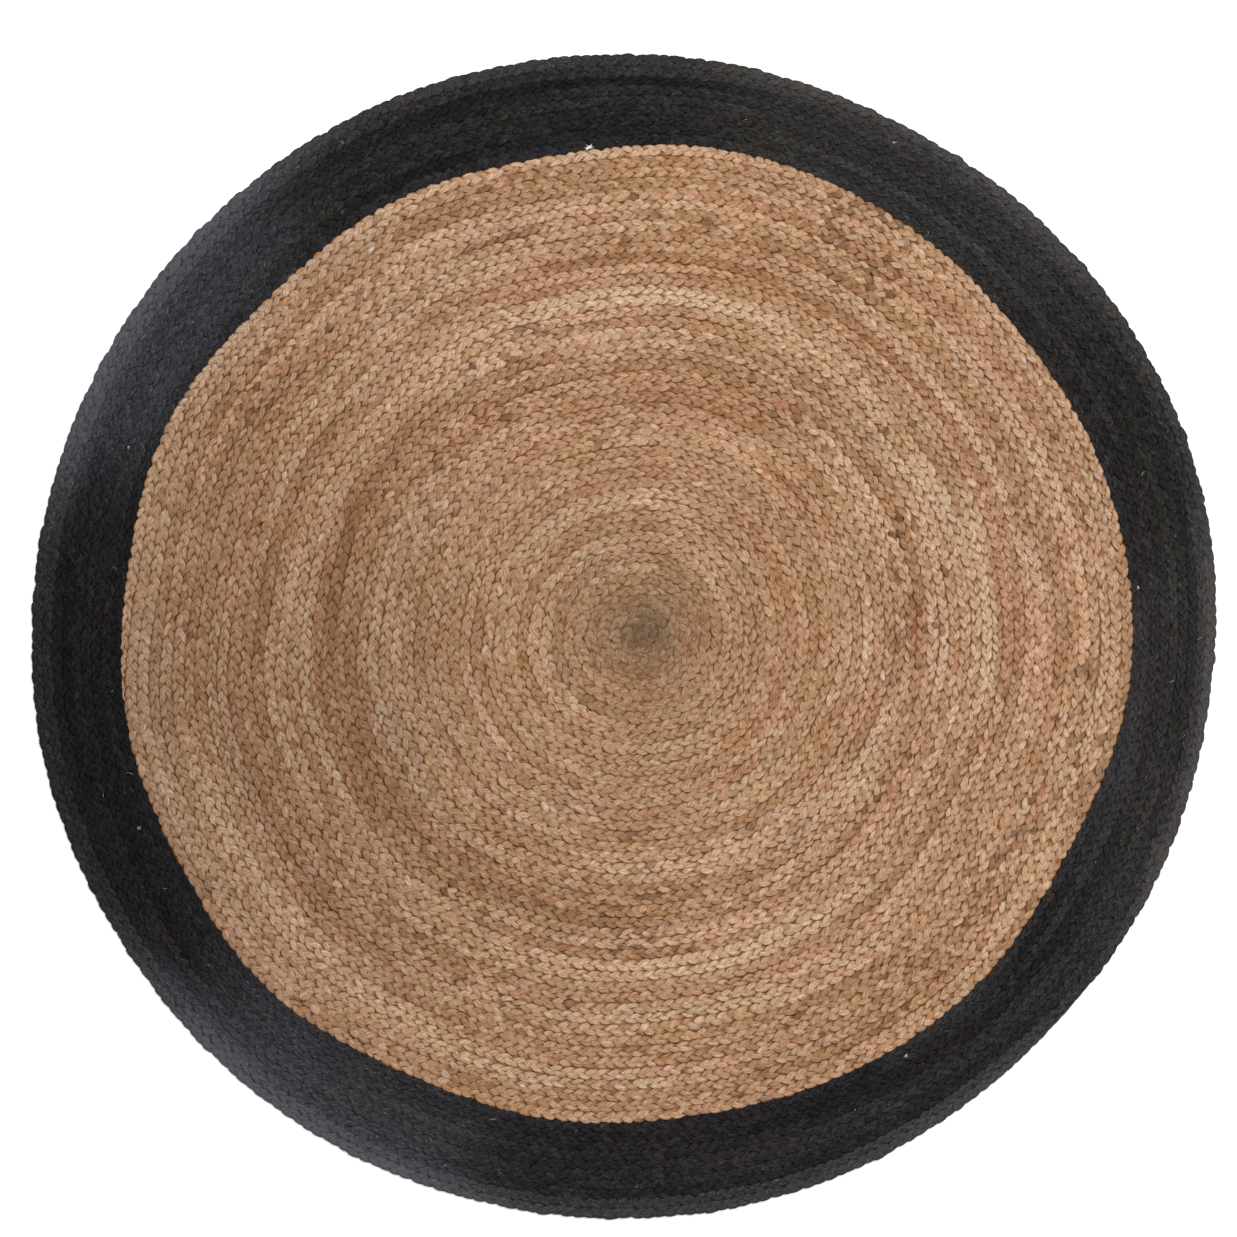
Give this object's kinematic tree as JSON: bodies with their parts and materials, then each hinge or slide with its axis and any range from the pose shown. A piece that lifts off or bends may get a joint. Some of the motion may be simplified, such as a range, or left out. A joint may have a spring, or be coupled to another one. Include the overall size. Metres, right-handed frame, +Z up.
{
  "type": "round braided jute rug",
  "caption": "Round rug of natural jute braid wound and sewn in a flat coil, with a wide border of black jute braid. It lies flat on a floor and covers it.",
  "frame": {"origin": "middle of the rug's box, on the floor that it lies on", "axes": "+Z up out of the rug's upper face, +X to the right and +Y away from the viewer of the picture, which looks straight down"},
  "size_m": [1.5132, 1.4878, 0.009],
  "materials": {
    "natural_jute": "matte braided plant fibre with a faint sheen",
    "black_jute": "matte dyed braided plant fibre with a faint sheen"
  },
  "bodies": {
    "root": {"natural_coil": "natural_jute", "black_coil": "black_jute"}
  },
  "joints": []
}
